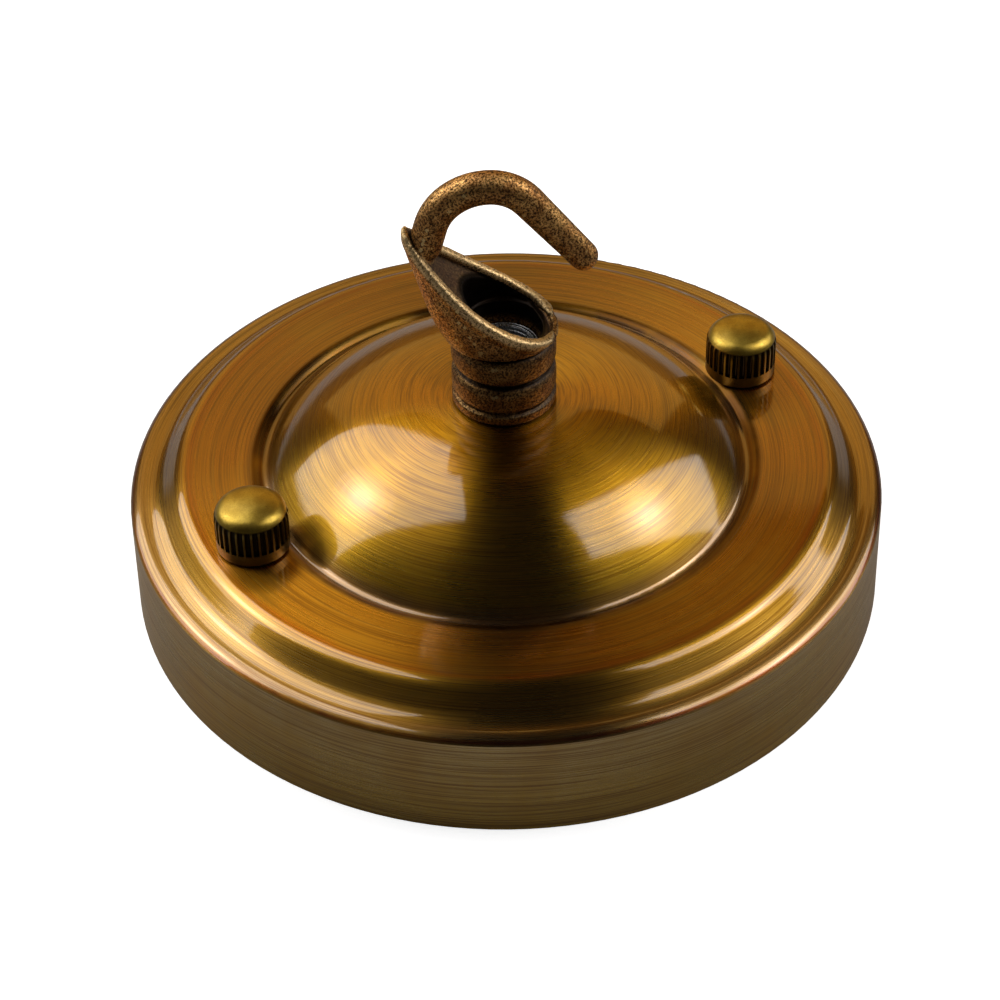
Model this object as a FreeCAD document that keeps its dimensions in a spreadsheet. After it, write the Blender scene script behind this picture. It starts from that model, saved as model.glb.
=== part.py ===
# Ceiling plate with a cast lamp hook: a pressed cup, the hook on its threaded tube, and the strap that
# holds the cup to the ceiling with two studs and knurled cap nuts.
# Millimetres. The origin is the centre of the cup's open rim, which lies in z = 0, and the hook points to +Z.
# The strap and the two cap nuts lie along X. The hook is turned about Z by hook_turn.
import FreeCAD, Part
import math
import os

import Sketcher

SIZES = {
    # pressed cup, outer face: how wide each of its rings is, from the centre outwards
    "sheet": 0.8,
    "hub_flat_radius": 9.0,
    "hub_width": 7.5,
    "dome_width": 17.2,
    "foot_width": 1.0,
    "valley_width": 1.6,
    "ring_width": 9.1,
    "shoulder_width": 1.9,
    "slope_width": 1.6,
    "cove_width": 2.9,
    "bead_width": 1.9,
    "wall_lean": 0.3,
    # and how high each of them is, from the ceiling up
    "wall_height": 15.5,
    "bead_height": 0.85,
    "cove_height": 1.03,
    "slope_height": 1.55,
    "shoulder_height": 0.77,
    "valley_depth": 0.8,
    "foot_height": 0.47,
    "dome_height": 10.2,
    "hub_height": 0.73,
    # centre thread, its tube, washer and nut
    "thread_radius": 5.0,
    "thread_gap": 0.05,
    "tube_bore": 4.0,
    "tube_above_hub": 9.0,
    "tube_below_nut": 2.2,
    "tube_chamfer": 0.6,
    "hub_hole_gap": 0.3,
    "washer_inset": 0.3,
    "washer_thick": 1.0,
    "washer_gap": 0.25,
    "tube_nut_flats": 14.0,
    "tube_nut_thick": 3.0,
    # hook, heights from its base on the cup
    "hook_turn": -27.8,
    "collar_radius": 7.3,
    "collar_edge": 0.5,
    "flange_height": 1.8,
    "seam_radius": 6.7,
    "seam_height": 0.3,
    "collar_ring_height": 4.2,
    "collar_ring_round": 1.3,
    "collar_ring_edge": 6.65,
    "groove_radius": 6.25,
    "groove_height": 0.6,
    "neck_height": 0.4,
    "cup_lip": 1.0,
    "scoop_radius": 42.0,
    "scoop_lean": 32.2,
    "scoop_rise": 4.35,
    "pocket_depth": 0.9,
    "outlet_radius": 5.4,
    "thread_depth": 9.6,
    "mouth_rise": 1.0,
    "mouth_long": 5.8,
    "mouth_wide": 5.45,
    "mouth_shift": 0.3,
    "bend_top_x": -1.4,
    "bend_top_rise": 23.75,
    "root_bend_radius": 8.35,
    "root_angle": 75.0,
    "root_length": 3.0,
    "tip_bend_radius": 6.4,
    "tip_angle": 50.6,
    "tip_length": 11.6,
    "root_thick": 2.3,
    "bend_thick": 2.3,
    "tip_thick": 2.05,
    # upright sections of the hook's oblique cup: height above its base, centre along the hook's plane,
    # half length in that plane and half width across it
    "cup_rise_1": 0.0,
    "cup_centre_1": -0.4,
    "cup_long_1": 7.7,
    "cup_wide_1": 7.15,
    "cup_rise_2": 3.0,
    "cup_centre_2": -0.9,
    "cup_long_2": 8.75,
    "cup_wide_2": 7.2,
    "cup_rise_3": 6.0,
    "cup_centre_3": -2.7,
    "cup_long_3": 8.0,
    "cup_wide_3": 6.75,
    "cup_rise_4": 9.0,
    "cup_centre_4": -5.6,
    "cup_long_4": 5.95,
    "cup_wide_4": 5.6,
    "cup_rise_5": 12.5,
    "cup_centre_5": -8.4,
    "cup_long_5": 4.2,
    "cup_wide_5": 4.05,
    "cup_rise_6": 19.0,
    "cup_centre_6": -11.3,
    "cup_long_6": 1.9,
    "cup_wide_6": 1.8,
    # ceiling strap
    "strap_end": 8.6,
    "strap_width": 16.0,
    "strap_thick": 1.5,
    "strap_lift": 5.0,
    "strap_step": 13.4,
    "strap_ramp": 4.0,
    "strap_corner": 4.0,
    "strap_centre_hole": 5.25,
    "slot_spacing": 34.0,
    "slot_length": 12.0,
    "slot_width": 4.5,
    # side studs, lock nuts and cap nuts
    "stud_inset": 3.1,
    "stud_radius": 2.0,
    "stud_gap": 0.04,
    "stud_hole_gap": 0.4,
    "stud_head_radius": 3.5,
    "stud_head_height": 2.4,
    "stud_slot_width": 1.0,
    "stud_slot_depth": 1.2,
    "stud_in_cap": 5.3,
    "stud_bevel": 0.5,
    "lock_nut_flats": 7.0,
    "lock_nut_thick": 2.2,
    "nut_chamfer": 0.4,
    "cap_radius": 5.1,
    "cap_side": 5.2,
    "cap_edge": 1.5,
    "cap_edge_height": 2.09,
    "cap_crown": 0.51,
    "cap_flat": 0.4,
    "cap_bevel": 0.4,
    "cap_bore_depth": 5.8,
    "flute_count": 30,
    "flute_radius": 0.4,
    "flute_start": 2.0,
    "flute_length": 4.1,
}

CUP_SECTION_COUNT = 6
HEXAGON_TURN = 60  # degrees from one corner of a nut to the next
HALF_TURN = HEXAGON_TURN / 2
SQUARE_TURN = 90
WEDGE_REACH = 2  # how far a nut's bevel reaches in from the corner, in chamfers
WEDGE_HEIGHT = 1.5

PARTS_FOLDER = "parts"
DEEP = 60.0  # longer than any piece that a cutter goes through

doc = FreeCAD.newDocument("ceiling_hook")
sheet = doc.addObject("Spreadsheet::Sheet", "sizes")


class Size:
    """A number with the expression that gives it from the sheet."""

    def __init__(self, value, text):
        self.value = float(value)
        self.text = text

    def __add__(self, other):
        other = plain(other)
        return Size(self.value + other.value, "(%s + %s)" % (self.text, other.text))

    def __sub__(self, other):
        other = plain(other)
        return Size(self.value - other.value, "(%s - %s)" % (self.text, other.text))

    def __mul__(self, other):
        other = plain(other)
        return Size(self.value * other.value, "(%s * %s)" % (self.text, other.text))

    def __truediv__(self, other):
        other = plain(other)
        return Size(self.value / other.value, "(%s / %s)" % (self.text, other.text))

    def __neg__(self):
        return Size(-self.value, "(-1 * %s)" % self.text)


def plain(number):
    return number if isinstance(number, Size) else Size(number, repr(float(number)))


def sine(angle):
    return Size(math.sin(math.radians(angle.value)), "sin(%s)" % angle.text)


def cosine(angle):
    return Size(math.cos(math.radians(angle.value)), "cos(%s)" % angle.text)


def fill_sheet():
    for row, (alias, value) in enumerate(SIZES.items(), 1):
        sheet.set("A%d" % row, alias)
        sheet.set("B%d" % row, str(value))
        sheet.setAlias("B%d" % row, alias)
    doc.recompute()


def size(alias):
    return Size(getattr(sheet, alias), "sizes." + alias)


def bind(thing, **properties):
    """Sets properties of an object from sizes; a double underscore stands for a dot in the property's name."""
    for name, value in properties.items():
        thing.setExpression(name.replace("__", "."), plain(value).text)
    return thing


def heading(start, end):
    return math.atan2(end[1] - start[1], end[0] - start[0])


def arc_between(start, end, start_heading):
    """The arc from start to end that leaves start along a heading."""
    chord = heading(start, end)
    turn = math.remainder(chord - start_heading, 2 * math.pi)
    middle = start_heading + turn / 2
    length = math.hypot(end[0] - start[0], end[1] - start[1]) / 2 / math.cos(turn / 2)
    halfway = FreeCAD.Vector(start[0] + length * math.cos(middle), start[1] + length * math.sin(middle), 0)
    arc = Part.Arc(FreeCAD.Vector(start[0], start[1], 0), halfway, FreeCAD.Vector(end[0], end[1], 0))
    return arc, chord + turn


def draw(sketch, start, steps, closed):
    """Draws lines and tangent arcs through points whose places are bound to sizes.

    A step is ("line", x, y), ("arc", x, y) for an arc that leaves the step before it without a corner, or
    ("arc_into", x, y) for one that runs into the next line without a corner.
    """
    points = [start] + [step[1:] for step in steps]
    spots = [(x.value, y.value) for x, y in points]
    ends = []
    direction = None
    for index, step in enumerate(steps):
        here, there = spots[index], spots[index + 1]
        first, last = FreeCAD.Vector(here[0], here[1], 0), FreeCAD.Vector(there[0], there[1], 0)
        if step[0] == "line":
            curve = Part.LineSegment(first, last)
            direction = heading(here, there)
        elif step[0] == "arc":
            curve, direction = arc_between(here, there, direction)
        else:
            backwards = heading(spots[index + 2], there)
            curve, arrival = arc_between(there, here, backwards)
            direction = heading(there, spots[index + 2])
        number = sketch.addGeometry(curve)
        start_point = sketch.getPoint(number, 1)
        forwards = (start_point - first).Length < (start_point - last).Length
        ends.append((number, 1, 2) if forwards else (number, 2, 1))
    for index, step in enumerate(steps):
        if index == 0 and not closed:
            continue
        before, after = ends[index - 1], ends[index]
        smooth = step[0] == "arc" or (index > 0 and steps[index - 1][0] == "arc_into")
        kind = "Tangent" if smooth else "Coincident"
        sketch.addConstraint(Sketcher.Constraint(kind, before[0], before[2], after[0], after[1]))
    fixed = points[:-1] if closed else points
    for index, (x, y) in enumerate(fixed):
        number, end = (ends[index][0], ends[index][1]) if index < len(ends) else (ends[-1][0], ends[-1][2])
        for kind, place in (("DistanceX", x), ("DistanceY", y)):
            row = sketch.addConstraint(Sketcher.Constraint(kind, -1, 1, number, end, place.value))
            sketch.setExpression("Constraints[%d]" % row, place.text)


def loose_sketch(name, start, steps, closed=True):
    """A sketch in the XZ plane that belongs to no body."""
    sketch = doc.addObject("Sketcher::SketchObject", name)
    sketch.Placement = FreeCAD.Placement(FreeCAD.Vector(), FreeCAD.Rotation(FreeCAD.Vector(1, 0, 0), 90))
    draw(sketch, start, steps, closed)
    return sketch


def body_sketch(body, name, plane, raised=None):
    sketch = body.newObject("Sketcher::SketchObject", name)
    for feature in body.Origin.OriginFeatures:
        if feature.Role == plane:
            sketch.AttachmentSupport = [(feature, "")]
    sketch.MapMode = "FlatFace"
    if raised is not None:
        bind(sketch, AttachmentOffset__Base__z=raised)
    return sketch


def circle(sketch, radius, x=None, y=None):
    x, y = x or plain(0), y or plain(0)
    number = sketch.addGeometry(Part.Circle(FreeCAD.Vector(x.value, y.value, 0), FreeCAD.Vector(0, 0, 1), radius.value))
    row = sketch.addConstraint(Sketcher.Constraint("Radius", number, radius.value))
    sketch.setExpression("Constraints[%d]" % row, radius.text)
    for kind, place in (("DistanceX", x), ("DistanceY", y)):
        row = sketch.addConstraint(Sketcher.Constraint(kind, -1, 1, number, 3, place.value))
        sketch.setExpression("Constraints[%d]" % row, place.text)


def corner_reach(flats):
    return flats / 2 / cosine(plain(HALF_TURN))


def hexagon(sketch, flats):
    """A hexagon on the origin with two corners on the X axis."""
    reach = corner_reach(flats)
    turns = [plain(turn) for turn in range(0, 360, HEXAGON_TURN)]
    corners = [(reach * cosine(turn), reach * sine(turn)) for turn in turns]
    draw(sketch, corners[0], [("line", x, y) for x, y in corners[1:] + corners[:1]], True)


def pad(body, name, sketch, length):
    feature = body.newObject("PartDesign::Pad", name)
    feature.Profile = sketch
    bind(feature, Length=length)
    doc.recompute()
    return feature


def pocket_through(body, name, sketch):
    feature = body.newObject("PartDesign::Pocket", name)
    feature.Profile = sketch
    feature.Type = "ThroughAll"
    feature.Midplane = True
    doc.recompute()
    return feature


def new_body(label):
    body = doc.addObject("PartDesign::Body", label + "_body")
    body.Label = label
    return body


def primitive(kind, name, axis=None, angle=None, x=0, y=0, z=0, **sizes):
    """A Part primitive with bound sizes and place, turned about an axis first."""
    thing = doc.addObject("Part::" + kind, name)
    bind(thing, **sizes)
    if axis:
        thing.Placement = FreeCAD.Placement(FreeCAD.Vector(), FreeCAD.Rotation(axis, angle.value))
        bind(thing, Placement__Rotation__Angle=angle)
    bind(thing, Placement__Base__x=x, Placement__Base__y=y, Placement__Base__z=z)
    return thing


def cut(name, base, tool):
    thing = doc.addObject("Part::Cut", name)
    thing.Base = base
    thing.Tool = tool
    return thing


def fuse(name, shapes):
    thing = doc.addObject("Part::MultiFuse", name)
    thing.Shapes = shapes
    return thing


def revolved(name, source):
    thing = doc.addObject("Part::Revolution", name)
    thing.Source = source
    thing.Axis = FreeCAD.Vector(0, 0, 1)
    thing.Angle = 360
    thing.Solid = True
    return thing


ALONG = FreeCAD.Vector(1, 0, 0)
ACROSS = FreeCAD.Vector(0, 1, 0)
UPRIGHT = FreeCAD.Vector(0, 0, 1)


def total(*aliases):
    """The sum of some sizes."""
    reach = size(aliases[0])
    for alias in aliases[1:]:
        reach = reach + size(alias)
    return reach


def ring_inner():
    return total("hub_flat_radius", "hub_width", "dome_width", "foot_width", "valley_width")


def ring_outer():
    return ring_inner() + size("ring_width")


def rim_radius():
    widths = total("shoulder_width", "slope_width", "cove_width", "bead_width", "wall_lean")
    return ring_outer() + widths


def ring_top():
    return total("wall_height", "bead_height", "cove_height", "slope_height", "shoulder_height")


def hub_top():
    return ring_top() - size("valley_depth") + total("foot_height", "dome_height", "hub_height")


def stud_place(share):
    return (ring_inner() + size("stud_inset")) * share


def hub_hole():
    return size("thread_radius") + size("hub_hole_gap")


def make_ceiling_cup():
    """The pressed sheet: one outer line from the hub to the rim, thickened inwards and turned about Z."""
    ring, top = ring_top(), hub_top()
    hub_edge = total("hub_flat_radius", "hub_width")
    foot = hub_edge + size("dome_width")
    valley = foot + size("foot_width")
    low = ring - size("valley_depth")
    shoulder = ring_outer() + size("shoulder_width")
    shoulder_low = ring - size("shoulder_height")
    slope = shoulder + size("slope_width")
    slope_low = shoulder_low - size("slope_height")
    cove = slope + size("cove_width")
    outline = loose_sketch("cup_outline", (hub_hole(), top), [
        ("line", size("hub_flat_radius"), top),
        ("arc", hub_edge, top - size("hub_height")),
        ("arc", foot, low + size("foot_height")),
        ("arc", valley, low),
        ("arc_into", ring_inner(), ring),
        ("line", ring_outer(), ring),
        ("arc", shoulder, shoulder_low),
        ("line", slope, slope_low),
        ("arc", cove, slope_low - size("cove_height")),
        ("arc", cove + size("bead_width"), size("wall_height")),
        ("line", rim_radius(), plain(0)),
    ], closed=False)
    section = doc.addObject("Part::Offset2D", "cup_section")
    section.Source = outline
    section.Mode = "Skin"
    section.Join = "Arc"
    section.Fill = True
    bind(section, Value=-size("sheet"))
    turned = revolved("cup_turned", section)
    hole_radius = size("stud_radius") + size("stud_hole_gap")
    cutters = [
        primitive("Cylinder", "cup_hole_" + side, Radius=hole_radius, Height=DEEP, x=stud_place(share))
        for side, share in (("left", -1), ("right", 1))
    ]
    cutters.append(primitive("Cylinder", "rim_trim", Radius=rim_radius() + size("sheet"), Height=DEEP, z=-DEEP))
    cup = cut("cup_trimmed", turned, fuse("cup_cutters", cutters))
    cup.Label = "ceiling_cup"
    return cup


def lower_ring_base():
    return total("flange_height", "seam_height")


def upper_ring_base():
    return lower_ring_base() + total("collar_ring_height", "groove_height")


def cup_base():
    return upper_ring_base() + total("collar_ring_height", "neck_height")


def collar_outline():
    """Half section of the hook's collar: a flange, a seam, and two rounded rings with grooves above them."""
    outer, edge = size("collar_radius"), size("collar_ring_edge")
    seam, groove = size("seam_radius"), size("groove_radius")
    bevel, rounding = size("collar_edge"), size("collar_ring_round")
    steps = [
        ("line", outer - bevel, plain(0)),
        ("line", outer, bevel),
        ("line", outer, size("flange_height")),
        ("line", seam, size("flange_height")),
        ("line", seam, lower_ring_base()),
    ]
    for base in (lower_ring_base(), upper_ring_base()):
        top = base + size("collar_ring_height")
        steps += [
            ("line", edge, base),
            ("arc_into", outer, base + rounding),
            ("line", outer, top - rounding),
            ("arc", edge, top),
            ("line", groove, top),
        ]
        if base.value < upper_ring_base().value:
            steps.append(("line", groove, upper_ring_base()))
    steps += [
        ("line", groove, cup_base()),
        ("line", plain(0), cup_base()),
        ("line", plain(0), plain(0)),
    ]
    return loose_sketch("collar_outline", (plain(0), plain(0)), steps)


def cup_loft(name, inset):
    """The oblique cup's outer form, or its inside when inset by the lip."""
    rings = []
    for number in range(1, CUP_SECTION_COUNT + 1):
        rings.append(primitive(
            "Ellipse", "%s_ring_%d" % (name, number),
            MajorRadius=size("cup_long_%d" % number) - inset,
            MinorRadius=size("cup_wide_%d" % number) - inset,
            x=size("cup_centre_%d" % number), z=cup_base() + size("cup_rise_%d" % number)))
    loft = doc.addObject("Part::Loft", name)
    loft.Sections = rings
    loft.Solid = True
    return loft


def bend(name, top_x, top_z, radius, angle, way):
    """A quarter or so of the bar's bend, from its top towards the root (way -1) or the tip (way 1)."""
    ring = primitive("Circle", name + "_ring", axis=ACROSS, angle=plain(SQUARE_TURN), x=top_x, z=top_z,
                     Radius=size("bend_thick"))
    turned = doc.addObject("Part::Revolution", name)
    turned.Source = ring
    turned.Axis = ACROSS * way
    turned.Solid = True
    bind(turned, Base__x=top_x, Base__z=top_z - radius, Angle=angle)
    return turned


def hook_bar():
    """The bent bar: up from the cup's tongue, over a bend of two radii and down to its rounded tip."""
    top_x, top_z = size("bend_top_x"), cup_base() + size("bend_top_rise")
    root_radius, tip_radius = size("root_bend_radius"), size("tip_bend_radius")
    root_angle, tip_angle = size("root_angle"), size("tip_angle")
    up_x = top_x - root_radius * sine(root_angle)
    up_z = top_z - root_radius + root_radius * cosine(root_angle)
    down_x = top_x + tip_radius * sine(tip_angle)
    down_z = top_z - tip_radius + tip_radius * cosine(tip_angle)
    root_x = up_x - size("root_length") * cosine(root_angle)
    root_z = up_z - size("root_length") * sine(root_angle)
    tip_x = down_x + size("tip_length") * cosine(tip_angle)
    tip_z = down_z - size("tip_length") * sine(tip_angle)
    return [
        primitive("Sphere", "bar_foot", Radius=size("root_thick"), x=root_x, z=root_z),
        primitive("Cone", "bar_root", axis=ACROSS, angle=-root_angle + SQUARE_TURN, x=root_x, z=root_z,
                  Radius1=size("root_thick"), Radius2=size("bend_thick"), Height=size("root_length")),
        bend("root_bend", top_x, top_z, root_radius, root_angle, -1),
        bend("tip_bend", top_x, top_z, tip_radius, tip_angle, 1),
        primitive("Cone", "bar_tip", axis=ACROSS, angle=tip_angle + SQUARE_TURN, x=down_x, z=down_z,
                  Radius1=size("bend_thick"), Radius2=size("tip_thick"), Height=size("tip_length")),
        primitive("Sphere", "bar_end", Radius=size("tip_thick"), x=tip_x, z=tip_z),
    ]


def make_hook():
    """One casting: collar, oblique cup with its pocket and cable outlet, and the bar."""
    blank = fuse("hook_blank", [revolved("collar", collar_outline()), cup_loft("cup_form", plain(0))])
    reach, lean = size("scoop_radius"), size("scoop_lean")
    place = dict(axis=ALONG, angle=plain(-SQUARE_TURN), x=reach * sine(lean), y=plain(-DEEP / 2),
                 z=cup_base() + size("scoop_rise") + reach * cosine(lean))
    scoop = primitive("Cylinder", "scoop", Radius=reach, Height=DEEP, **place)
    deeper = reach + size("pocket_depth")
    pocket_reach = primitive("Cylinder", "pocket_reach", Radius=deeper, Height=DEEP, **place)
    pocket = doc.addObject("Part::MultiCommon", "pocket")
    pocket.Shapes = [cup_loft("cup_inside", size("cup_lip")), pocket_reach]
    thread = primitive("Cylinder", "hook_thread", Radius=size("thread_radius") + size("thread_gap"),
                       Height=size("thread_depth"))
    outlet = primitive("Cylinder", "cable_outlet", Radius=size("outlet_radius"), Height=DEEP,
                       z=size("thread_depth"))
    mouth_ring = primitive("Ellipse", "mouth_ring", axis=UPRIGHT, angle=plain(SQUARE_TURN),
                           MajorRadius=size("mouth_long"), MinorRadius=size("mouth_wide"),
                           y=size("mouth_shift"), z=cup_base() + size("mouth_rise"))
    mouth = doc.addObject("Part::Extrusion", "mouth")
    mouth.Base = mouth_ring
    mouth.Dir = UPRIGHT
    mouth.DirMode = "Custom"
    mouth.Solid = True
    mouth.LengthFwd = DEEP
    hollows = fuse("hook_hollows", [scoop, pocket, thread, outlet, mouth])
    cast = cut("hook_cast", blank, hollows)
    hook = fuse("hook_whole", [cast] + hook_bar())
    hook.Label = "hook"
    hook.Placement = FreeCAD.Placement(FreeCAD.Vector(), FreeCAD.Rotation(UPRIGHT, 0))
    bind(hook, Placement__Base__z=hub_top(), Placement__Rotation__Angle=size("hook_turn"))
    return hook


def washer_top():
    return hub_top() - size("sheet")


def nut_top():
    return washer_top() - size("washer_thick")


def make_threaded_tube():
    """All-thread tube: the hook screws on its top, the nut below clamps the cup, the cable runs through."""
    body = new_body("threaded_nipple")
    bottom = nut_top() - size("tube_nut_thick") - size("tube_below_nut")
    top = hub_top() + size("tube_above_hub")
    outline = body_sketch(body, "tube_outline", "XZ_Plane")
    bore, outer, bevel = size("tube_bore"), size("thread_radius"), size("tube_chamfer")
    draw(outline, (bore, bottom), [
        ("line", outer - bevel, bottom),
        ("line", outer, bottom + bevel),
        ("line", outer, top - bevel),
        ("line", outer - bevel, top),
        ("line", bore, top),
        ("line", bore, bottom),
    ], True)
    turned = body.newObject("PartDesign::Revolution", "tube_turned")
    turned.Profile = outline
    turned.ReferenceAxis = (outline, ["V_Axis"])
    turned.Angle = 360
    return body


def make_washer():
    body = new_body("nipple_washer")
    face = body_sketch(body, "washer_face", "XY_Plane", raised=nut_top())
    circle(face, size("hub_flat_radius") - size("washer_inset"))
    circle(face, size("thread_radius") + size("washer_gap"))
    pad(body, "washer_sheet", face, size("washer_thick"))
    return body


def make_nut(label, flats, bore, bottom, thick):
    """A hexagon nut whose corners are bevelled by a turned cone at both ends."""
    body = new_body(label)
    face = body_sketch(body, label + "_face", "XY_Plane", raised=bottom)
    hexagon(face, flats)
    circle(face, bore)
    pad(body, label + "_block", face, thick)
    corner = corner_reach(flats)
    bevel = size("nut_chamfer")
    for word, level, inward in (("lower", bottom, 1), ("upper", bottom + thick, -1)):
        wedge = body_sketch(body, "%s_%s_wedge" % (label, word), "XZ_Plane")
        tip = corner - bevel * WEDGE_REACH
        draw(wedge, (tip, level), [
            ("line", corner + bevel, level),
            ("line", corner + bevel, level + bevel * WEDGE_HEIGHT * inward),
            ("line", tip, level),
        ], True)
        groove = body.newObject("PartDesign::Groove", "%s_%s_bevel" % (label, word))
        groove.Profile = wedge
        groove.ReferenceAxis = (wedge, ["V_Axis"])
        groove.Angle = 360
    return body


def make_tube_nut():
    bottom = nut_top() - size("tube_nut_thick")
    bore = size("thread_radius") + size("thread_gap")
    return make_nut("nipple_nut", size("tube_nut_flats"), bore, bottom, size("tube_nut_thick"))


def make_strap():
    """Steel strip, flat on the ceiling in the middle and lifted at both ends to clear the stud heads."""
    body = new_body("mounting_strap")
    stud = stud_place(1)
    flat, ramp, end = stud - size("strap_step"), size("strap_ramp"), stud + size("strap_end")
    lift, thick = size("strap_lift"), size("strap_thick")
    upper = [(flat, thick), (flat + ramp, lift + thick), (end, lift + thick)]
    under = flat + thick / 2
    lower = [(under, plain(0)), (under + ramp, lift), (end, lift)]
    right = upper + lower[::-1]
    left = [(-x, y) for x, y in reversed(right)]
    ring = right + left
    side = body_sketch(body, "strap_side", "XZ_Plane")
    draw(side, ring[0], [("line", x, y) for x, y in ring[1:] + ring[:1]], True)
    strip = body.newObject("PartDesign::Pad", "strap_strip")
    strip.Profile = side
    strip.Midplane = True
    bind(strip, Length=size("strap_width"))
    doc.recompute()
    holes = body_sketch(body, "strap_holes", "XY_Plane")
    circle(holes, size("strap_centre_hole"))
    for share in (-1, 1):
        circle(holes, size("stud_radius") + size("stud_gap"), x=stud_place(share))
    pocket_through(body, "strap_bores", holes)
    slots = body_sketch(body, "strap_slots", "XY_Plane")
    half_width = size("slot_width") / 2
    for share in (-1, 1):
        centre = size("slot_spacing") / 2 * share
        reach = size("slot_length") / 2 - half_width
        draw(slots, (centre - reach, half_width), [
            ("line", centre + reach, half_width),
            ("arc", centre + reach, -half_width),
            ("line", centre - reach, -half_width),
            ("arc", centre - reach, half_width),
        ], True)
    slotted = pocket_through(body, "strap_slot_cut", slots)
    upright = [
        "Edge%d" % number for number, edge in enumerate(slotted.Shape.Edges, 1)
        if abs(abs(edge.CenterOfMass.x) - end.value) < 0.01 and edge.BoundBox.YLength < 0.01
    ]
    corners = body.newObject("PartDesign::Fillet", "strap_corners")
    corners.Base = (slotted, upright)
    bind(corners, Radius=size("strap_corner"))
    return body


def stud_bottom():
    return size("strap_lift") - size("stud_head_height")


def make_stud(side, share):
    """Slotted stud: head under the strap's lifted end, shank up through the cup into the cap nut."""
    body = new_body("side_screw_" + side)
    top = ring_top() + size("stud_in_cap")
    radius, head = size("stud_radius"), size("stud_head_radius")
    bevel = size("stud_bevel")
    outline = body_sketch(body, "stud_%s_outline" % side, "XZ_Plane")
    base, seat = stud_bottom(), size("strap_lift")
    draw(outline, (plain(0), base), [
        ("line", head - bevel, base),
        ("line", head, base + bevel),
        ("line", head, seat),
        ("line", radius, seat),
        ("line", radius, top - bevel),
        ("line", radius - bevel, top),
        ("line", plain(0), top),
        ("line", plain(0), base),
    ], True)
    turned = body.newObject("PartDesign::Revolution", "stud_%s_turned" % side)
    turned.Profile = outline
    turned.ReferenceAxis = (outline, ["V_Axis"])
    turned.Angle = 360
    doc.recompute()
    slot = body_sketch(body, "stud_%s_slot" % side, "XY_Plane", raised=base + size("stud_slot_depth"))
    half, reach = size("stud_slot_width") / 2, head + bevel
    draw(slot, (-reach, -half), [
        ("line", reach, -half),
        ("line", reach, half),
        ("line", -reach, half),
        ("line", -reach, -half),
    ], True)
    groove = body.newObject("PartDesign::Pocket", "stud_%s_slot_cut" % side)
    groove.Profile = slot
    bind(groove, Length=size("stud_slot_depth") * 2)
    bind(body, Placement__Base__x=stud_place(share))
    return body


def make_lock_nut(side, share):
    bottom = size("strap_lift") + size("strap_thick")
    bore = size("stud_radius") + size("stud_gap")
    body = make_nut("lock_nut_" + side, size("lock_nut_flats"), bore, bottom, size("lock_nut_thick"))
    bind(body, Placement__Base__x=stud_place(share))
    return body


def make_cap_nut(side, share):
    """Knurled nut with a low dome and a blind bore, standing on the cup's ring."""
    body = new_body("cap_nut_" + side)
    outline = body_sketch(body, "cap_%s_outline" % side, "XZ_Plane")
    radius, edge = size("cap_radius"), size("cap_edge")
    bore, depth = size("stud_radius") + size("stud_gap"), size("cap_bore_depth")
    bevel = size("cap_bevel")
    shoulder = size("cap_side") + size("cap_edge_height")
    crown = shoulder + size("cap_crown")
    draw(outline, (bore, plain(0)), [
        ("line", radius - bevel, plain(0)),
        ("line", radius, bevel),
        ("line", radius, size("cap_side")),
        ("arc", radius - edge, shoulder),
        ("arc_into", size("cap_flat"), crown),
        ("line", plain(0), crown),
        ("line", plain(0), depth),
        ("line", bore, depth),
        ("line", bore, plain(0)),
    ], True)
    turned = body.newObject("PartDesign::Revolution", "cap_%s_turned" % side)
    turned.Profile = outline
    turned.ReferenceAxis = (outline, ["V_Axis"])
    turned.Angle = 360
    doc.recompute()
    notch = body_sketch(body, "cap_%s_notch" % side, "XY_Plane", raised=size("flute_start"))
    circle(notch, size("flute_radius"), x=radius)
    flute = body.newObject("PartDesign::Pocket", "cap_%s_flute" % side)
    flute.Profile = notch
    flute.Reversed = True
    bind(flute, Length=size("flute_length"))
    doc.recompute()
    pattern = body.newObject("PartDesign::PolarPattern", "cap_%s_flutes" % side)
    pattern.Originals = [flute]
    pattern.Axis = (notch, ["N_Axis"])
    pattern.Angle = 360
    bind(pattern, Occurrences=size("flute_count"))
    body.Tip = pattern
    bind(body, Placement__Base__x=stud_place(share), Placement__Base__z=ring_top())
    return body


def check_and_write(pieces):
    """Stops on any failed object or bad shape, then writes one file for each piece."""
    for thing in doc.Objects:
        faults = [state for state in thing.State if state in ("Invalid", "Error")]
        if faults:
            raise RuntimeError("%s failed: %s" % (thing.Name, ", ".join(faults)))
    for piece in pieces:
        shape = piece.Shape
        if shape.isNull() or not shape.isValid():
            raise RuntimeError("%s has no valid shape" % piece.Label)
        if len(shape.Solids) != 1:
            raise RuntimeError("%s has %d solids" % (piece.Label, len(shape.Solids)))
    os.makedirs(PARTS_FOLDER, exist_ok=True)
    for piece in pieces:
        piece.Shape.exportStep(os.path.join(PARTS_FOLDER, piece.Label + ".step"))
        box = piece.Shape.BoundBox
        print("%-16s %9.1f mm3  z %6.2f to %6.2f" % (piece.Label, piece.Shape.Volume, box.ZMin, box.ZMax))


fill_sheet()
pieces = [make_ceiling_cup(), make_hook(), make_threaded_tube(), make_washer(), make_tube_nut(), make_strap()]
for side, share in (("left", -1), ("right", 1)):
    pieces.append(make_stud(side, share))
    pieces.append(make_lock_nut(side, share))
    pieces.append(make_cap_nut(side, share))
doc.recompute()
check_and_write(pieces)
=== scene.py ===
import math

import bpy
from mathutils import Matrix, Quaternion, Vector


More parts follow.
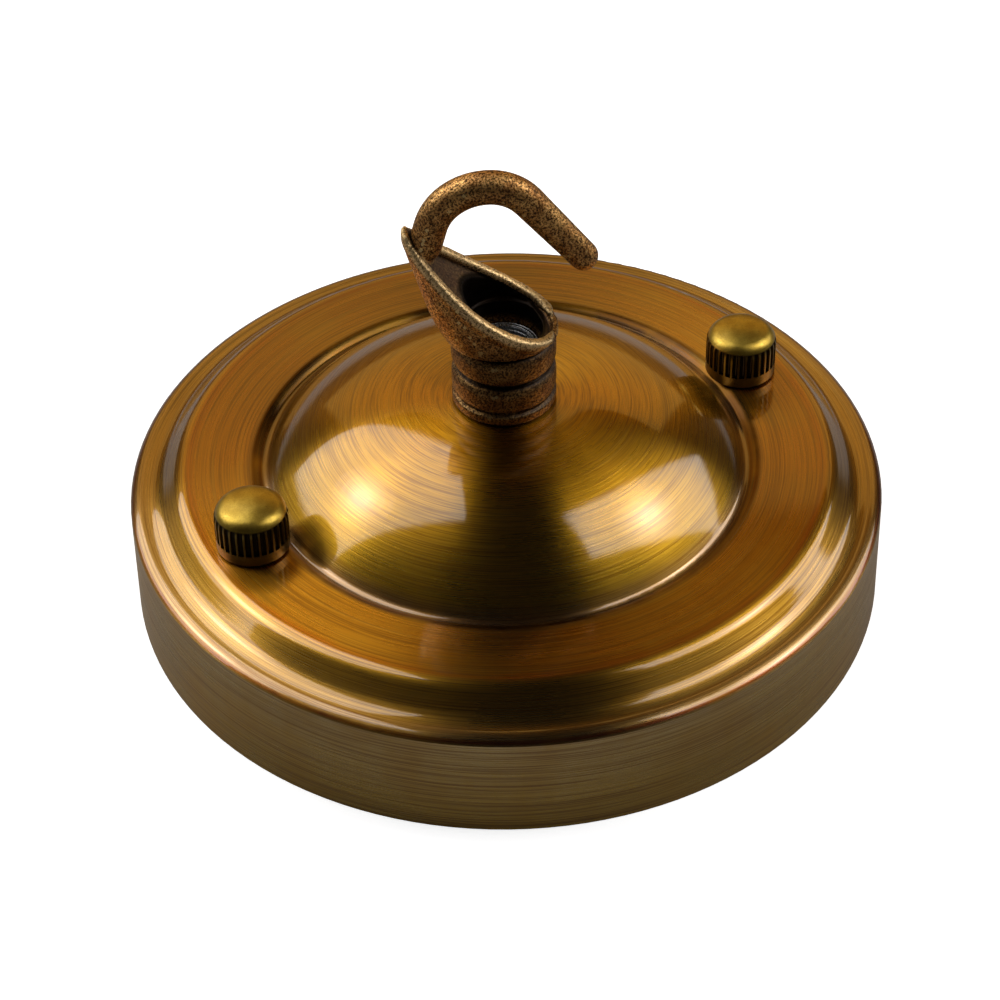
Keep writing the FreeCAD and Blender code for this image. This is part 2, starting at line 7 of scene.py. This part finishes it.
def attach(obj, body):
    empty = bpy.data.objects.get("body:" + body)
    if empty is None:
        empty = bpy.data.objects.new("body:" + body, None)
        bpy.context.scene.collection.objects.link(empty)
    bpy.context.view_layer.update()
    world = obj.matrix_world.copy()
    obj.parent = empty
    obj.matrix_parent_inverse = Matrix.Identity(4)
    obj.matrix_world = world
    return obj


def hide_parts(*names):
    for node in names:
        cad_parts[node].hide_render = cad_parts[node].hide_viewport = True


# the frame is in metres; every length below is in millimetres, except those that say metres
MM = 0.001
WHITE = (1.0, 1.0, 1.0)

# the camera: where it stands, how long its lens is, where the cup's centre falls in the picture, and
# how near and how far it sees, in metres
CAMERA_AZIMUTH = -27.8
CAMERA_ELEVATION = 42.49
CAMERA_METRES = 0.400
CAMERA_ROLL = 0.98
FOCAL_PIXELS = 2710.5
CENTRE_PIXEL = (507.1, 554.5)
PICTURE = 1000.0
SENSOR = 36.0
CLIP_METRES = (0.01, 20.0)

# the pressed cup's upper side from the centre out: how wide each stretch is and how far it drops;
# each is one arc or straight line that goes on at the slope where the last one ends, apart from the
# valley, which starts at a sharp edge and ends level
CUP_STRETCHES = {
    "hub_flat": (9.0, 0.0),
    "hub": (7.5, 0.73),
    "dome": (17.2, 10.2),
    "foot": (1.0, 0.47),
    "valley": (1.6, -0.8),
    "ring": (9.1, 0.0),
    "shoulder": (1.9, 0.77),
    "slope": (1.6, 1.55),
    "cove": (2.9, 1.03),
    "bead": (1.9, 0.85),
}
# how wide that edge is to each side, and how far out the colours and slopes are told apart
SHARP_EDGE = 0.01
CUP_REACH = 60.0
# a face takes its normal from the slopes where its own one rises past this range, and keeps the
# mesh's below it
UPWARD = (0.2, 0.3)

# the cup's metal, from the centre out: how far out each colour stands; some of these colours are painted
# light, as marked
COPPER = (0.560, 0.228, 0.011)
GOLD = (0.590, 0.300, 0.024)
PALE = (0.560, 0.330, 0.110)
RED = (0.300, 0.062, 0.020)
BROWN = (0.520, 0.315, 0.055)
CUP_COLOURS = (
    (0.0, (0.640, 0.260, 0.006)),
    (15.0, (0.600, 0.275, 0.008)),
    (32.5, (0.550, 0.308, 0.020)),
    (34.2, (0.420, 0.245, 0.110)),
    # partly patina, partly painted shade: the dark ring in the groove round the dome's foot
    (34.72, (0.090, 0.045, 0.020)),
    (36.0, (0.070, 0.032, 0.009)),
    (36.8, COPPER),
    (44.2, COPPER),
    (45.2, (0.550, 0.165, 0.008)),
    (46.0, GOLD),
    (51.0, (0.580, 0.320, 0.060)),
    (52.6, PALE),
    (53.05, PALE),
    # partly the metal's tint, partly painted reflection: the red line at the bead's outer edge
    (53.25, RED),
    (53.5, RED),
    # painted highlight: the pale line on the wall's rounded top corner
    (53.62, (0.600, 0.430, 0.205)),
    (53.74, BROWN),
    (CUP_REACH, BROWN),
)
# the lacquer is thin in the groove round the dome and on the cup's wall
GROOVE_START = (34.65, 34.75)
GROOVE_END = (35.9, 36.6)
GROOVE_LACQUER = 0.05
WALL_START = (53.60, 53.74)
WALL_LACQUER = 0.45

# the cap nuts: how far out they stand, and the radii of the flutes' floor and crest and the height where
# the flutes run out, which place the painted shade on their sides
CAP_REACH = 39.4
FLUTE_FLOOR = 4.78
FLUTE_CREST = 5.08
FLUTE_TOP = (25.7, 26.0)

# the hook: its turn about Z, and the grain and smoothing that soften its solid into a casting
HOOK_TURN = -27.8
CASTING_VOXEL = 0.2
CASTING_ROUNDS = 4

# the hook's scooped cup: the scoop's radius, how far its axis leans out and the height where its
# surface crosses the hook's axis, the mouth's half sizes along and across the hook and its shift
# across, how far the rim's roll stands out, and how far in and down it takes the horn
SCOOP_RADIUS = 42.0
SCOOP_LEAN = math.radians(32.2)
SCOOP_HEIGHT = 46.15
SCOOP_AXIS = (SCOOP_RADIUS * math.sin(SCOOP_LEAN), SCOOP_HEIGHT + SCOOP_RADIUS * math.cos(SCOOP_LEAN))
MOUTH = (5.45, 5.8)
MOUTH_SHIFT = 0.3
RIM_ROLL = 0.3
HORN_SHIFT = (0.45, 1.0)

# where its marks of wear start and where they end: the ledge by how squarely a point faces the
# scoop's axis and by depth under the scoop, the rim by that depth, the horn by height
LEDGE_FACING = (0.55, 0.85)
LEDGE_DEPTH = (0.35, 0.60)
RIM_START = (-0.35, -0.05)
RIM_END = (0.75, 1.75)
RIM_SHINE_END = (0.45, 1.0)
HORN_HEIGHT = (51.0, 61.0)

# and its painted shade: in the mouth by share of the mouth's size, depth and height, in the collar's two
# grooves by distance from the axis and height, and thinly on the whole collar by height
MOUTH_EDGE = (1.06, 1.16)
MOUTH_DEPTH = (0.45, 0.8)
MOUTH_HEIGHT = (38.0, 41.0)
COLLAR_RADIUS = 7.2
COLLAR_SUNK = (0.05, 0.5)
COLLAR_BORE = (5.5, 5.8)
COLLAR_START = (31.8, 32.1)
COLLAR_END = (41.9, 42.4)
COLLAR_FADE = (41.5, 46.0)
COLLAR_GROOVE_SHADE = 0.95
COLLAR_SHADE = 0.6
# a point with more painted shade than this isn't rolled
ROLL_STOPS = 0.5

# the rings that show in the hook's mouth, two on the tube's end and three in its bore: radius and
# height of each, how thick they are, and into how many pieces a ring is cut, round it and round
# its section
THREAD_CRESTS = ((4.78, 39.34), (4.34, 39.34), (3.99, 38.75), (3.99, 38.05), (3.99, 37.35))
CREST_RADIUS = 0.11
RING_CUTS = 96
CREST_CUTS = 8

# the floor, in metres: half its size and how far it lies under the cup's rim
FLOOR_HALF = 3.0
FLOOR_DROP = 0.00002
# how the floor looks to the camera and how it lights the cup: its paint and its glow, which rises
# to white away from the cup; what mirrored rays see of it, and the world that the metal mirrors
FLOOR_SEEN = (0.86, 0.86, 0.86)
FLOOR_UNSEEN = (0.34, 0.34, 0.34)
FLOOR_GLOW = (0.76, 1.0)
GLOW_SPAN = (180.0, 600.0)
MIRRORED_GLOW = 0.03
DIM_WORLD = (0.008, 0.008, 0.009)

# the small round lamps in front of each side's soft box, in metres: size and radiance of each, how
# far away the first one stands, and how much nearer the next
SPOT_LAMPS = ((0.08, 1.6), (0.13, 1.3), (0.19, 1.0), (0.26, 0.6))
SPOT_METRES = 0.60
SPOT_STEP = 0.002
AMBER = (1.0, 0.62, 0.14)

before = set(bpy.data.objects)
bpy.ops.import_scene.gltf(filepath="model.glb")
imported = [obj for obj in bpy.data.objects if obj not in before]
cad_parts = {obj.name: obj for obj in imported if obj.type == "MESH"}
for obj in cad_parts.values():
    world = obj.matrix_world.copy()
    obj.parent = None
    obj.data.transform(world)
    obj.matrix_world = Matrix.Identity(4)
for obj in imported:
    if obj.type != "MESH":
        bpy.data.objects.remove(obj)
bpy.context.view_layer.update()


# materials


class Graph:
    """A material and the nodes that feed its shader."""

    def __init__(self, name):
        self.material = bpy.data.materials.new(name)
        self.material.use_nodes = True
        self.tree = self.material.node_tree
        self.shader = self.tree.nodes["Principled BSDF"]
        self.output = self.tree.nodes["Material Output"]

    def node(self, kind, **settings):
        made = self.tree.nodes.new("ShaderNode" + kind)
        for key, value in settings.items():
            setattr(made, key, value)
        return made

    def feed(self, socket, value):
        if isinstance(value, bpy.types.NodeSocket):
            self.tree.links.new(value, socket)
        else:
            socket.default_value = value

    def math(self, operation, first, second=0.0):
        made = self.node("Math", operation=operation)
        self.feed(made.inputs[0], first)
        self.feed(made.inputs[1], second)
        return made.outputs[0]

    def vector(self, operation, first, second=None, scale=None):
        made = self.node("VectorMath", operation=operation)
        self.feed(made.inputs[0], first)
        if second is not None:
            self.feed(made.inputs[1], second)
        if scale is not None:
            self.feed(made.inputs["Scale"], scale)
        return made.outputs["Value" if operation == "LENGTH" else "Vector"]

    def place(self):
        """The point on the object, in millimetres."""
        where = self.node("TexCoord").outputs["Object"]
        return self.vector("SCALE", where, scale=1.0 / MM)

    def split(self, vector):
        made = self.node("SeparateXYZ")
        self.feed(made.inputs[0], vector)
        return made.outputs

    def join(self, x, y, z):
        made = self.node("CombineXYZ")
        for socket, value in zip(made.inputs, (x, y, z)):
            self.feed(socket, value)
        return made.outputs[0]

    def noise(self, vector, per_mm, detail, rough):
        made = self.node("TexNoise")
        self.feed(made.inputs["Vector"], vector)
        made.inputs["Scale"].default_value = per_mm
        made.inputs["Detail"].default_value = detail
        made.inputs["Roughness"].default_value = rough
        return made.outputs["Fac"]

    def remap(self, value, low, high, to_low=0.0, to_high=1.0, smooth=True):
        """The value's way from low to high, taken to the way from to_low to to_high."""
        made = self.node("MapRange", clamp=True)
        made.interpolation_type = "SMOOTHSTEP" if smooth else "LINEAR"
        self.feed(made.inputs["Value"], value)
        for key, number in zip(("From Min", "From Max", "To Min", "To Max"), (low, high, to_low, to_high)):
            made.inputs[key].default_value = number
        return made.outputs["Result"]

    def ramp(self, value, stops):
        made = self.node("ValToRGB")
        first, last = made.color_ramp.elements
        for element, (position, colour) in ((first, stops[0]), (last, stops[-1])):
            element.position = position
            element.color = (*colour, 1.0)
        for position, colour in stops[1:-1]:
            made.color_ramp.elements.new(position).color = (*colour, 1.0)
        self.feed(made.inputs["Fac"], value)
        return made.outputs["Color"]

    def blend(self, share, first, second):
        """The first colour, with a share of the second over it."""
        made = self.node("Mix", data_type="RGBA")
        self.feed(made.inputs[0], share)
        for socket, value in ((made.inputs[6], first), (made.inputs[7], second)):
            self.feed(socket, (*value, 1.0) if isinstance(value, tuple) else value)
        return made.outputs[2]

    def choose(self, share, first, second):
        """The first vector, or the second where the share is 1."""
        made = self.node("Mix", data_type="VECTOR")
        self.feed(made.inputs[0], share)
        self.feed(made.inputs[4], first)
        self.feed(made.inputs[5], second)
        return made.outputs[1]

    def bump(self, height, depth, strength, below=None):
        made = self.node("Bump")
        made.inputs["Strength"].default_value = strength
        made.inputs["Distance"].default_value = depth * MM
        self.feed(made.inputs["Height"], height)
        if below is not None:
            self.feed(made.inputs["Normal"], below)
        return made.outputs["Normal"]

    def set(self, **values):
        for key, value in values.items():
            self.feed(self.shader.inputs[key.replace("_", " ")], value)


def round_place(graph, at):
    """Distance from the Z axis, the direction away from it, and height."""
    x, y, z = graph.split(at)
    flat = graph.join(x, y, 0.0)
    radius = graph.vector("LENGTH", flat)
    heading = graph.vector("NORMALIZE", flat)
    return radius, heading, z


def cup_slopes():
    """How far out the slope of the cup's upper side changes, and the slope there, down and out."""
    out, slope = 0.0, 0.0
    slopes = [(out, slope)]
    for name, (width, drop) in CUP_STRETCHES.items():
        chord = math.atan2(drop, width)
        if name == "valley":
            slopes[-1] = (out - SHARP_EDGE, slope)
            slope = 2.0 * chord
            slopes.append((out + SHARP_EDGE, slope))
        out += width
        slope = 2.0 * chord - slope
        slopes.append((out, slope))
    return slopes


def turned_normal(graph, radius, head):
    """The normal of the cup's upper side worked out from its outline, free of the mesh's facets."""
    stops = []
    for out, slope in cup_slopes():
        level = 0.5 + 0.5 * math.sin(slope)
        stops.append((out / CUP_REACH, (level, level, level)))
    level = graph.split(graph.ramp(graph.math("DIVIDE", radius, CUP_REACH), stops))[0]
    lean = graph.math("SUBTRACT", graph.math("MULTIPLY", level, 2.0), 1.0)
    rise = graph.math("SQRT", graph.math("SUBTRACT", 1.0, graph.math("MULTIPLY", lean, lean)))
    turned = graph.join(graph.math("MULTIPLY", head[0], lean), graph.math("MULTIPLY", head[1], lean), rise)
    meshed = graph.node("NewGeometry").outputs
    upward = graph.remap(graph.split(meshed["True Normal"])[2], *UPWARD, smooth=False)
    return graph.choose(upward, meshed["Normal"], turned)


def cup_lacquer(graph, radius):
    """How thick the clear coat is, by distance from the cup's centre."""
    groove = graph.math(
        "MAXIMUM",
        graph.remap(radius, *GROOVE_START, 1.0, GROOVE_LACQUER),
        graph.remap(radius, *GROOVE_END, GROOVE_LACQUER, 1.0),
    )
    return graph.math("MULTIPLY", groove, graph.remap(radius, *WALL_START, 1.0, WALL_LACQUER))


def brushed_brass():
    graph = Graph("brushed_brass_skin")
    at = graph.place()
    radius, heading, z = round_place(graph, at)
    outward = graph.math("SUBTRACT", radius, z)
    head = graph.split(heading)

    def rings(per_mm, turns):
        """Space drawn out round the axis, so that noise in it makes brush marks."""
        return graph.join(
            graph.math("MULTIPLY", head[0], turns),
            graph.math("MULTIPLY", head[1], turns),
            graph.math("MULTIPLY", outward, per_mm),
        )

    fine = graph.noise(rings(5.0, 1.8), per_mm=1.0, detail=3.0, rough=0.65)
    broad = graph.noise(rings(1.6, 1.4), per_mm=1.0, detail=2.0, rough=0.5)
    cloud = graph.noise(at, per_mm=0.09, detail=3.0, rough=0.55)
    speck = graph.noise(at, per_mm=2.4, detail=2.0, rough=0.6)

    stops = [(out / CUP_REACH, colour) for out, colour in CUP_COLOURS]
    zone = graph.ramp(graph.math("DIVIDE", radius, CUP_REACH), stops)
    worn = graph.blend(graph.remap(cloud, 0.38, 0.72, 0.0, 0.5), zone, (0.480, 0.235, 0.016))
    streaked = graph.blend(graph.remap(fine, 0.40, 0.66, 0.0, 0.70), worn, (0.200, 0.072, 0.006))
    lined = graph.blend(graph.remap(broad, 0.45, 0.8, 0.0, 0.22), streaked, (0.640, 0.370, 0.048))
    flecked = graph.blend(graph.remap(speck, 0.70, 0.80, 0.0, 0.35), lined, (0.160, 0.077, 0.019))
    normal = turned_normal(graph, radius, head)
    rough = graph.math(
        "ADD",
        graph.remap(fine, 0.3, 0.8, 0.27, 0.36),
        graph.remap(cloud, 0.3, 0.8, -0.02, 0.03),
    )
    graph.set(
        Base_Color=flecked,
        Metallic=1.0,
        Roughness=rough,
        Anisotropic=0.9,
        Anisotropic_Rotation=0.25,
        Coat_Weight=cup_lacquer(graph, radius),
        Coat_IOR=1.7,
        Coat_Roughness=0.04,
        Normal=graph.bump(fine, 0.020, 0.9, below=graph.bump(broad, 0.05, 0.5, below=normal)),
        Coat_Normal=graph.bump(fine, 0.008, 0.6, below=normal),
    )
    tangent = graph.node("Tangent", direction_type="RADIAL", axis="Z")
    graph.feed(graph.shader.inputs["Tangent"], tangent.outputs[0])
    return graph.material


def cast_bronze():
    graph = Graph("cast_bronze_skin")
    at = graph.place()
    bend = graph.node("NewGeometry").outputs["Pointiness"]
    rim, painted_shade, ledge = graph.split(graph.node("Attribute", attribute_name="wear_and_shade").outputs["Vector"])
    # painted shade: the occlusion share darkens the casting's recesses, its pocket and its bore nearly to
    # black
    hidden = graph.node("AmbientOcclusion", samples=6)
    hidden.inputs["Distance"].default_value = 3.5 * MM
    cloud = graph.noise(at, per_mm=0.40, detail=3.0, rough=0.6)
    grain = graph.noise(at, per_mm=3.4, detail=4.0, rough=0.74)
    pits = graph.noise(at, per_mm=1.5, detail=3.0, rough=0.6)
    dark = (0.040, 0.018, 0.007)
    warm = (0.90, 0.49, 0.155)
    pale = (1.0, 0.74, 0.33)
    ground = graph.blend(graph.remap(cloud, 0.34, 0.66), (0.56, 0.25, 0.070), warm)
    speckled = graph.blend(graph.remap(grain, 0.55, 0.43, 0.0, 0.95), ground, dark)
    flecked = graph.blend(graph.remap(grain, 0.56, 0.70, 0.0, 0.6), speckled, pale)
    pitted = graph.blend(graph.remap(pits, 0.60, 0.72, 0.0, 0.8), flecked, (0.030, 0.014, 0.008))
    edge = graph.math("ADD", bend, graph.remap(grain, 0.3, 0.7, -0.03, 0.03))
    rubbed = graph.blend(graph.remap(edge, 0.52, 0.58, 0.0, 0.7), pitted, pale)
    lip = graph.math("MULTIPLY", rim, graph.remap(grain, 0.38, 0.55, 0.15, 0.95))
    rimmed = graph.blend(lip, rubbed, (1.0, 0.70, 0.34))
    dusty = graph.blend(graph.math("MULTIPLY", ledge, 0.75), rimmed, (0.085, 0.066, 0.058))
    # painted shade from occlusion and the painted shade marked on the mesh, blended over the finish
    shade = graph.remap(hidden.outputs["AO"], 0.25, 0.78, 1.0, 0.0)
    black = graph.math("MAXIMUM", graph.math("MULTIPLY", shade, 0.94), painted_shade)
    skin = graph.blend(black, dusty, (0.012, 0.007, 0.004))
    pitting = graph.bump(pits, 0.09, 0.5)
    graph.set(
        Base_Color=skin,
        Metallic=1.0,
        Roughness=graph.remap(grain, 0.3, 0.75, 0.58, 0.38),
        Coat_Weight=0.06,
        Coat_Roughness=0.2,
        Normal=graph.bump(grain, 0.07, 0.6, below=graph.bump(cloud, 0.30, 0.35, below=pitting)),
    )
    return graph.material


def knurled_brass(axis_x):
    graph = Graph("knurled_brass_skin")
    at = graph.vector("SUBTRACT", graph.place(), (axis_x, 0.0, 0.0))
    radius, _, z = round_place(graph, at)
    cloud = graph.noise(at, per_mm=0.5, detail=3.0, rough=0.6)
    grain = graph.noise(at, per_mm=5.0, detail=3.0, rough=0.7)
    dark = (0.20, 0.115, 0.014)
    olive = (0.56, 0.37, 0.055)
    base = graph.blend(graph.remap(cloud, 0.35, 0.65), (0.44, 0.275, 0.036), olive)
    flecked = graph.blend(graph.remap(grain, 0.5, 0.75, 0.0, 0.6), base, dark)
    # painted shade: the fluted side darker than the crown, and the flutes' floors nearly black
    flute = graph.remap(radius, FLUTE_FLOOR, FLUTE_CREST, 1.0, 0.0)
    low = graph.remap(z, *FLUTE_TOP, 1.0, 0.0)
    side = graph.blend(graph.math("MULTIPLY", low, 0.72), flecked, (0.11, 0.072, 0.022))
    shaded = graph.blend(graph.math("MULTIPLY", flute, low), side, (0.020, 0.013, 0.006))
    graph.set(
        Base_Color=shaded,
        Metallic=1.0,
        Roughness=graph.remap(grain, 0.3, 0.75, 0.30, 0.46),
        Coat_Weight=0.15,
        Coat_Roughness=0.2,
        Normal=graph.bump(grain, 0.02, 0.5, below=graph.bump(cloud, 0.1, 0.3)),
    )
    return graph.material


def zinc_steel():
    graph = Graph("zinc_steel_skin")
    at = graph.place()
    cloud = graph.noise(at, per_mm=0.4, detail=3.0, rough=0.6)
    grain = graph.noise(at, per_mm=3.0, detail=4.0, rough=0.65)
    base = graph.blend(graph.remap(cloud, 0.35, 0.7), (0.58, 0.59, 0.60), (0.70, 0.69, 0.65))
    dulled = graph.blend(graph.remap(grain, 0.55, 0.8, 0.0, 0.5), base, (0.36, 0.36, 0.35))
    graph.set(
        Base_Color=dulled,
        Metallic=1.0,
        Roughness=graph.remap(grain, 0.3, 0.75, 0.22, 0.40),
        Normal=graph.bump(grain, 0.02, 0.5),
    )
    return graph.material


def dress(piece, material):
    piece.data.materials.clear()
    piece.data.materials.append(material)


# pieces


def softened_casting(name, node):
    """A copy of a node's solid with the soft edges of a sand casting."""
    piece = bpy.data.objects.new(name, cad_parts[node].data.copy())
    bpy.context.scene.collection.objects.link(piece)
    remesh = piece.modifiers.new("skin", "REMESH")
    remesh.mode = "VOXEL"
    remesh.voxel_size = CASTING_VOXEL * MM
    soften = piece.modifiers.new("soften", "SMOOTH")
    soften.factor = 0.5
    soften.iterations = CASTING_ROUNDS
    shape = piece.evaluated_get(bpy.context.evaluated_depsgraph_get())
    mesh = bpy.data.meshes.new_from_object(shape)
    piece.modifiers.clear()
    piece.data = mesh
    for polygon in mesh.polygons:
        polygon.use_smooth = True
    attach(piece, "root")
    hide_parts(node)
    return piece


def fade(value, span):
    """0 below the span, 1 above it and a smooth rise between."""
    low, high = span
    share = min(max((value - low) / (high - low), 0.0), 1.0)
    return share * share * (3.0 - 2.0 * share)


def turned(x, y, turn):
    return x * math.cos(turn) - y * math.sin(turn), x * math.sin(turn) + y * math.cos(turn)


def painted_shade_share(along, across, z, depth):
    """Painted shade in the mouth, in the grooves of the collar and on the collar."""
    from_axis = math.hypot(along / MOUTH[0], (across - MOUTH_SHIFT) / MOUTH[1])
    mouth = (1.0 - fade(from_axis, MOUTH_EDGE)) * fade(depth, MOUTH_DEPTH) * fade(z, MOUTH_HEIGHT)
    around = math.hypot(along, across)
    sunk = fade(COLLAR_RADIUS - around, COLLAR_SUNK) * fade(around, COLLAR_BORE)
    groove = sunk * fade(z, COLLAR_START) * (1.0 - fade(z, COLLAR_END))
    collar = 1.0 - fade(z, COLLAR_FADE)
    return max(mouth, COLLAR_GROOVE_SHADE * groove, COLLAR_SHADE * collar)


def wear_and_shade_the_cup(mesh):
    """Rolls the rim of the hook's scooped cup outward and marks rim, painted shade and ledge for the finish.
    """
    turn = math.radians(-HOOK_TURN)
    shift = Vector((*turned(HORN_SHIFT[0], 0.0, -turn), -HORN_SHIFT[1]))
    marks = mesh.attributes.new("wear_and_shade", "FLOAT_VECTOR", "POINT")
    moved = []
    for vertex in mesh.vertices:
        x, y, z = vertex.co / MM
        normal = vertex.normal
        along, across = turned(x, y, turn)
        lean, _ = turned(normal.x, normal.y, turn)
        reach = math.hypot(along - SCOOP_AXIS[0], z - SCOOP_AXIS[1])
        depth = reach - SCOOP_RADIUS
        facing = (lean * (SCOOP_AXIS[0] - along) + normal.z * (SCOOP_AXIS[1] - z)) / reach
        ledge = fade(facing, LEDGE_FACING) * fade(depth, LEDGE_DEPTH)
        # painted shade in the mouth, in the collar's grooves and on the collar
        painted_shade = painted_shade_share(along, across, z, depth)
        near = (1.0 - fade(depth, RIM_END)) * fade(depth, RIM_START) * (1.0 - ledge)
        if painted_shade > ROLL_STOPS:
            near = 0.0
        rim = near * (1.0 - fade(depth, RIM_SHINE_END))
        marks.data[vertex.index].vector = (rim, painted_shade, ledge)
        sunk = near * fade(z, HORN_HEIGHT)
        moved.append(vertex.co + normal * (near * RIM_ROLL * MM) + shift * (sunk * MM))
    for vertex, place in zip(mesh.vertices, moved):
        vertex.co = place
    mesh.update()


def ring_points(radius, z):
    points = []
    for i in range(RING_CUTS):
        a = math.tau * i / RING_CUTS
        for j in range(CREST_CUTS):
            b = math.tau * j / CREST_CUTS
            reach = radius + CREST_RADIUS * math.cos(b)
            height = z + CREST_RADIUS * math.sin(b)
            points.append((reach * math.cos(a) * MM, reach * math.sin(a) * MM, height * MM))
    return points


def ring_faces(first):
    faces = []
    for i in range(RING_CUTS):
        here = first + i * CREST_CUTS
        there = first + (i + 1) % RING_CUTS * CREST_CUTS
        for j in range(CREST_CUTS):
            following = (j + 1) % CREST_CUTS
            faces.append((here + j, there + j, there + following, here + following))
    return faces


def thread_rings():
    """The rings on the tube's end and in its bore that show in the hook's mouth."""
    verts, faces = [], []
    for radius, z in THREAD_CRESTS:
        faces.extend(ring_faces(len(verts)))
        verts.extend(ring_points(radius, z))
    mesh = bpy.data.meshes.new("thread_rings")
    mesh.from_pydata(verts, [], faces)
    for polygon in mesh.polygons:
        polygon.use_smooth = True
    piece = bpy.data.objects.new("thread_rings", mesh)
    bpy.context.scene.collection.objects.link(piece)
    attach(piece, "root")
    return piece


hook = softened_casting("hook_casting", "hook")
wear_and_shade_the_cup(hook.data)
dress(hook, cast_bronze())
dress(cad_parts["ceiling_cup"], brushed_brass())
for side, axis_x in (("left", -CAP_REACH), ("right", CAP_REACH)):
    dress(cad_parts["cap_nut_" + side], knurled_brass(axis_x))
steel = zinc_steel()
dress(thread_rings(), steel)
for name in (
    "threaded_nipple",
    "nipple_washer",
    "nipple_nut",
    "mounting_strap",
    "side_screw_left",
    "side_screw_right",
    "lock_nut_left",
    "lock_nut_right",
):
    dress(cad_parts[name], steel)


# floor, light and camera


def floor_paint():
    """White to the camera, greyer in the light that it throws on the cup."""
    graph = Graph("floor_paint")
    graph.tree.nodes.remove(graph.shader)
    path = graph.node("LightPath")
    seen = path.outputs["Is Camera Ray"]
    mirrored = graph.math("MAXIMUM", path.outputs["Is Glossy Ray"], path.outputs["Is Transmission Ray"])
    paint = graph.node("BsdfDiffuse")
    graph.feed(paint.inputs["Color"], graph.blend(seen, FLOOR_UNSEEN, FLOOR_SEEN))
    far = graph.vector("LENGTH", graph.place())
    shine = graph.math("MULTIPLY", seen, graph.remap(far, *GLOW_SPAN, *FLOOR_GLOW))
    glimmer = graph.math("MULTIPLY", mirrored, MIRRORED_GLOW)
    glow = graph.node("Emission")
    graph.feed(glow.inputs["Strength"], graph.math("ADD", shine, glimmer))
    both = graph.node("AddShader")
    graph.feed(both.inputs[0], paint.outputs[0])
    graph.feed(both.inputs[1], glow.outputs[0])
    graph.feed(graph.output.inputs["Surface"], both.outputs[0])
    return graph.material


def lay_floor():
    mesh = bpy.data.meshes.new("floor")
    corners = [(x * FLOOR_HALF, y * FLOOR_HALF, -FLOOR_DROP) for x, y in ((-1, -1), (1, -1), (1, 1), (-1, 1))]
    mesh.from_pydata(corners, [], [(0, 1, 2, 3)])
    floor = bpy.data.objects.new("floor", mesh)
    bpy.context.scene.collection.objects.link(floor)
    dress(floor, floor_paint())


def make_world():
    """White to the camera and nearly black in the metal."""
    world = bpy.data.worlds.new("studio")
    bpy.context.scene.world = world
    world.use_nodes = True
    tree = world.node_tree
    path = tree.nodes.new("ShaderNodeLightPath")
    mix = tree.nodes.new("ShaderNodeMix")
    mix.data_type = "RGBA"
    mix.inputs[6].default_value = (*DIM_WORLD, 1.0)
    mix.inputs[7].default_value = (*WHITE, 1.0)
    tree.links.new(path.outputs["Is Camera Ray"], mix.inputs[0])
    tree.links.new(mix.outputs[2], tree.nodes["Background"].inputs["Color"])


def softbox(name, turn, height, metres, wide, tall, radiance, roll=0.0, colour=WHITE, shape="RECTANGLE"):
    """A flat lamp that faces the cup, its sizes in metres and its angles in degrees.

    Turn is its angle round from the camera's right, height its angle above the floor.
    """
    turn = math.radians(turn + CAMERA_AZIMUTH)
    height = math.radians(height)
    away = Vector((math.cos(turn) * math.cos(height), math.sin(turn) * math.cos(height), math.sin(height)))
    rolled = Quaternion((0.0, 0.0, 1.0), math.radians(roll))
    data = bpy.data.lights.new(name, "AREA")
    data.shape = shape
    data.size = wide
    data.size_y = tall
    area = wide * tall * (math.pi / 4 if shape == "ELLIPSE" else 1.0)
    data.energy = radiance * math.pi * area
    data.color = colour
    lamp = bpy.data.objects.new(name, data)
    lamp.location = away * metres
    lamp.rotation_euler = (away.to_track_quat("Z", "Y") @ rolled).to_euler()
    bpy.context.scene.collection.objects.link(lamp)


def set_lamps():
    softbox("left_box", turn=153.0, height=47.0, metres=0.62, wide=0.52, tall=0.68, radiance=1.9, roll=25.0)
    softbox("right_box", turn=9.0, height=43.0, metres=0.62, wide=0.32, tall=0.70, radiance=2.2, roll=30.0)
    for side, turn, height in (("left", 163.0, 45.8), ("right", 3.0, 45.2)):
        for number, (across, radiance) in enumerate(SPOT_LAMPS):
            name = "%s_lamp_%d" % (side, number)
            metres = SPOT_METRES - SPOT_STEP * number
            softbox(name, turn, height, metres, across, across, radiance, shape="ELLIPSE")
    softbox("back_box", turn=90.0, height=27.5, metres=0.90, wide=1.2, tall=0.50, radiance=0.60, colour=AMBER)


def set_camera():
    azimuth = math.radians(CAMERA_AZIMUTH)
    elevation = math.radians(CAMERA_ELEVATION)
    roll = math.radians(CAMERA_ROLL)
    level = math.cos(elevation)
    back = Vector((math.sin(azimuth) * level, -math.cos(azimuth) * level, math.sin(elevation)))
    right = Vector((math.cos(azimuth), math.sin(azimuth), 0.0))
    up = back.cross(right)
    rolled_right = right * math.cos(roll) - up * math.sin(roll)
    rolled_up = right * math.sin(roll) + up * math.cos(roll)
    aimed = Matrix((rolled_right, rolled_up, back)).transposed()
    across = (CENTRE_PIXEL[0] - PICTURE / 2) / FOCAL_PIXELS
    down = (CENTRE_PIXEL[1] - PICTURE / 2) / FOCAL_PIXELS
    target = Vector((across, -down, -1.0)).normalized()
    aside = Vector((0.0, 0.0, -1.0)).rotation_difference(target).to_matrix().inverted()
    data = bpy.data.cameras.new("camera")
    data.sensor_width = SENSOR
    data.lens = FOCAL_PIXELS / PICTURE * SENSOR
    data.clip_start, data.clip_end = CLIP_METRES
    eye = bpy.data.objects.new("camera", data)
    eye.matrix_world = Matrix.Translation(back * CAMERA_METRES) @ (aimed @ aside).to_4x4()
    bpy.context.scene.collection.objects.link(eye)
    bpy.context.scene.camera = eye


lay_floor()
make_world()
set_lamps()
set_camera()
bpy.context.scene.view_settings.view_transform = "Standard"
